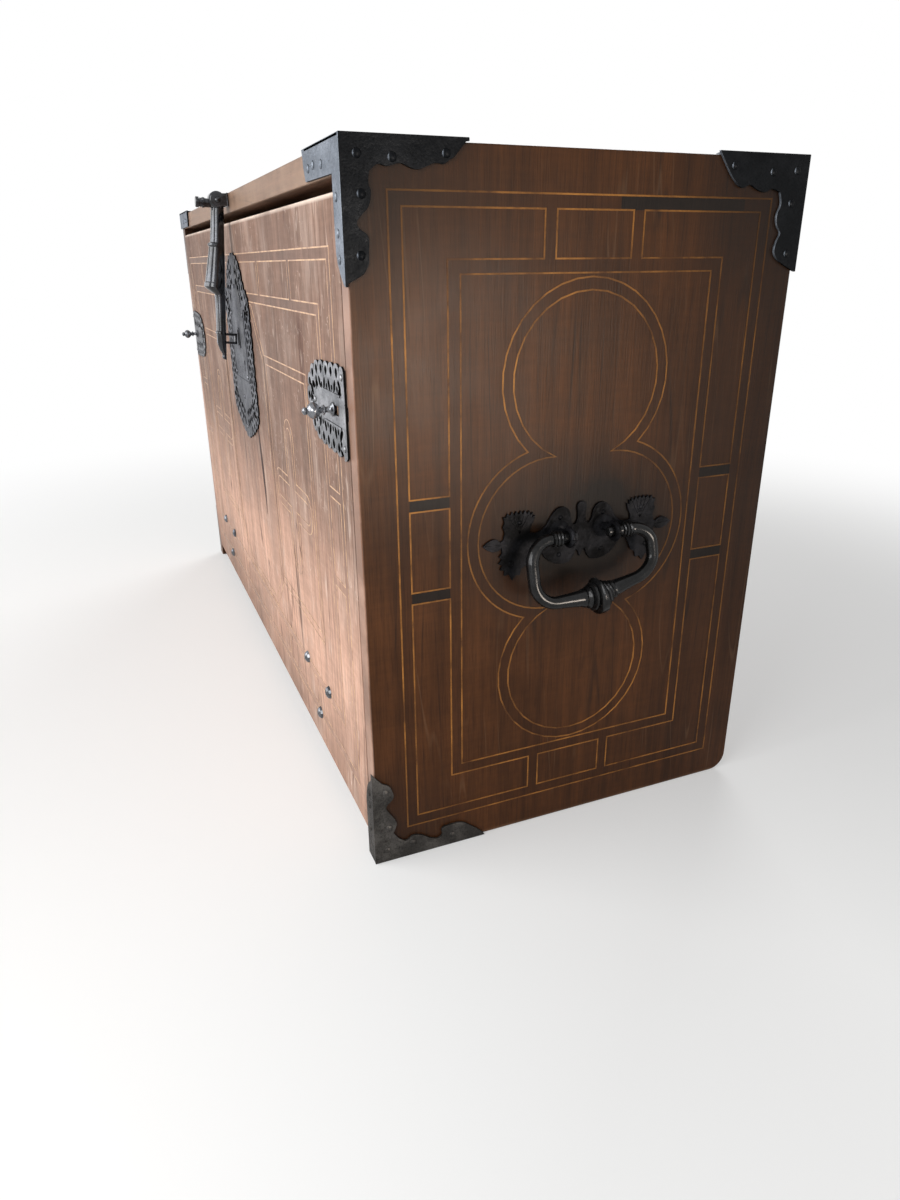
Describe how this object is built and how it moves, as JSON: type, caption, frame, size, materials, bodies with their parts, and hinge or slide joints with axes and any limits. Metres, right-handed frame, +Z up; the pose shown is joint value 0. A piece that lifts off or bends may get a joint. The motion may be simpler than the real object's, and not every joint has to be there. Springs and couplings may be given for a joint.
{
  "type": "bargueno cabinet",
  "caption": "Fall-front writing cabinet of inlaid walnut with wrought corner irons, a hasp lock, side bolts, drop handles and a nest of drawers inside.",
  "frame": {"origin": "centre of the case's underside", "axes": "+X to the right end seen from the front, +Z up, the front faces -Y"},
  "size_m": [1.087, 0.4365, 0.5998],
  "materials": {
    "walnut": "waxed dark walnut with inlaid light lines",
    "faded_walnut": "faded walnut with inlaid light lines",
    "drawer_walnut": "plain walnut",
    "wrought_iron": "black wrought iron",
    "worn_iron": "worn grey wrought iron"
  },
  "bodies": {
    "case": {"back_board": "walnut", "bottom_board": "walnut", "handle_eye_left_back": "wrought_iron", "handle_eye_left_front": "wrought_iron", "handle_eye_right_back": "wrought_iron", "handle_eye_right_front": "wrought_iron", "handle_plate_left": "wrought_iron", "handle_plate_right": "wrought_iron", "hasp_eye": "worn_iron", "hinge_case_leaf_left": "wrought_iron", "hinge_case_leaf_right": "wrought_iron", "hinge_pin_left": "wrought_iron", "hinge_pin_right": "wrought_iron", "iron_bottom_front_left": "wrought_iron", "iron_bottom_front_right": "wrought_iron", "iron_top_back_left": "wrought_iron", "iron_top_back_right": "wrought_iron", "iron_top_front_left": "wrought_iron", "iron_top_front_right": "wrought_iron", "nest_base": "drawer_walnut", "nest_shelf_center_1": "drawer_walnut", "nest_shelf_left_1": "drawer_walnut", "nest_shelf_left_2": "drawer_walnut", "nest_shelf_right_1": "drawer_walnut", "nest_shelf_right_2": "drawer_walnut", "nest_upright_left": "drawer_walnut", "nest_upright_right": "drawer_walnut", "side_left": "walnut", "side_right": "walnut", "top_board": "walnut"},
    "hasp": {"hasp": "worn_iron"},
    "lock_bolt": {"lock_bolt": "wrought_iron"},
    "side_bolt_right": {"side_bolt_right": "worn_iron"},
    "side_bolt_left": {"side_bolt_left": "worn_iron"},
    "bail_right": {"bail_right": "wrought_iron"},
    "bail_left": {"bail_left": "wrought_iron"},
    "fall_front": {"front_board": "faded_walnut", "lock_plate": "worn_iron", "lock_case": "wrought_iron", "bolt_plate_right": "worn_iron", "bolt_plate_left": "worn_iron", "hinge_front_leaf_right": "wrought_iron", "hinge_front_leaf_left": "wrought_iron"},
    "drawer_left_1": {"drawer_left_1": "drawer_walnut", "drawer_pull_left_1": "wrought_iron"},
    "drawer_left_2": {"drawer_left_2": "drawer_walnut", "drawer_pull_left_2": "wrought_iron"},
    "drawer_left_3": {"drawer_left_3": "drawer_walnut", "drawer_pull_left_3": "wrought_iron"},
    "drawer_center_1": {"drawer_center_1": "drawer_walnut", "drawer_pull_center_1": "wrought_iron"},
    "drawer_right_1": {"drawer_right_1": "drawer_walnut", "drawer_pull_right_1": "wrought_iron"},
    "drawer_right_2": {"drawer_right_2": "drawer_walnut", "drawer_pull_right_2": "wrought_iron"},
    "drawer_right_3": {"drawer_right_3": "drawer_walnut", "drawer_pull_right_3": "wrought_iron"}
  },
  "joints": [
    {"name": "fall_front_hinge", "type": "hinge", "parent": "case", "child": "fall_front", "pos_m": [0, -0.1795, 0.02], "axis": [1, 0, 0], "range_deg": [0, 90]},
    {"name": "hasp_hinge", "type": "hinge", "parent": "case", "child": "hasp", "pos_m": [0, -0.213, 0.5895], "axis": [-1, 0, 0], "range_deg": [-5, 135]},
    {"name": "lock_bolt_slide", "type": "slide", "parent": "fall_front", "child": "lock_bolt", "axis": [-1, 0, 0], "range_m": [0, 0.009]},
    {"name": "side_bolt_right_slide", "type": "slide", "parent": "fall_front", "child": "side_bolt_right", "axis": [1, 0, 0], "range_m": [0, 0.011]},
    {"name": "side_bolt_left_slide", "type": "slide", "parent": "fall_front", "child": "side_bolt_left", "axis": [-1, 0, 0], "range_m": [0, 0.011]},
    {"name": "bail_right_hinge", "type": "hinge", "parent": "case", "child": "bail_right", "pos_m": [0.512, 0, 0.301], "axis": [0, -1, 0], "range_deg": [0, 120]},
    {"name": "bail_left_hinge", "type": "hinge", "parent": "case", "child": "bail_left", "pos_m": [-0.512, 0, 0.301], "axis": [0, 1, 0], "range_deg": [0, 120]},
    {"name": "drawer_left_1_slide", "type": "slide", "parent": "case", "child": "drawer_left_1", "axis": [0, -1, 0], "range_m": [0, 0.101]},
    {"name": "drawer_left_2_slide", "type": "slide", "parent": "case", "child": "drawer_left_2", "axis": [0, -1, 0], "range_m": [0, 0.101]},
    {"name": "drawer_left_3_slide", "type": "slide", "parent": "case", "child": "drawer_left_3", "axis": [0, -1, 0], "range_m": [0, 0.101]},
    {"name": "drawer_center_1_slide", "type": "slide", "parent": "case", "child": "drawer_center_1", "axis": [0, -1, 0], "range_m": [0, 0.101]},
    {"name": "drawer_right_1_slide", "type": "slide", "parent": "case", "child": "drawer_right_1", "axis": [0, -1, 0], "range_m": [0, 0.101]},
    {"name": "drawer_right_2_slide", "type": "slide", "parent": "case", "child": "drawer_right_2", "axis": [0, -1, 0], "range_m": [0, 0.101]},
    {"name": "drawer_right_3_slide", "type": "slide", "parent": "case", "child": "drawer_right_3", "axis": [0, -1, 0], "range_m": [0, 0.101]}
  ],
  "couplings": [
    {"joint": "drawer_left_1_slide", "follows": "fall_front_hinge", "m_per_rad": 0.063662},
    {"joint": "drawer_left_2_slide", "follows": "fall_front_hinge", "m_per_rad": 0.063662},
    {"joint": "drawer_left_3_slide", "follows": "fall_front_hinge", "m_per_rad": 0.063662},
    {"joint": "drawer_center_1_slide", "follows": "fall_front_hinge", "m_per_rad": 0.063662},
    {"joint": "drawer_right_1_slide", "follows": "fall_front_hinge", "m_per_rad": 0.063662},
    {"joint": "drawer_right_2_slide", "follows": "fall_front_hinge", "m_per_rad": 0.063662},
    {"joint": "drawer_right_3_slide", "follows": "fall_front_hinge", "m_per_rad": 0.063662}
  ]
}
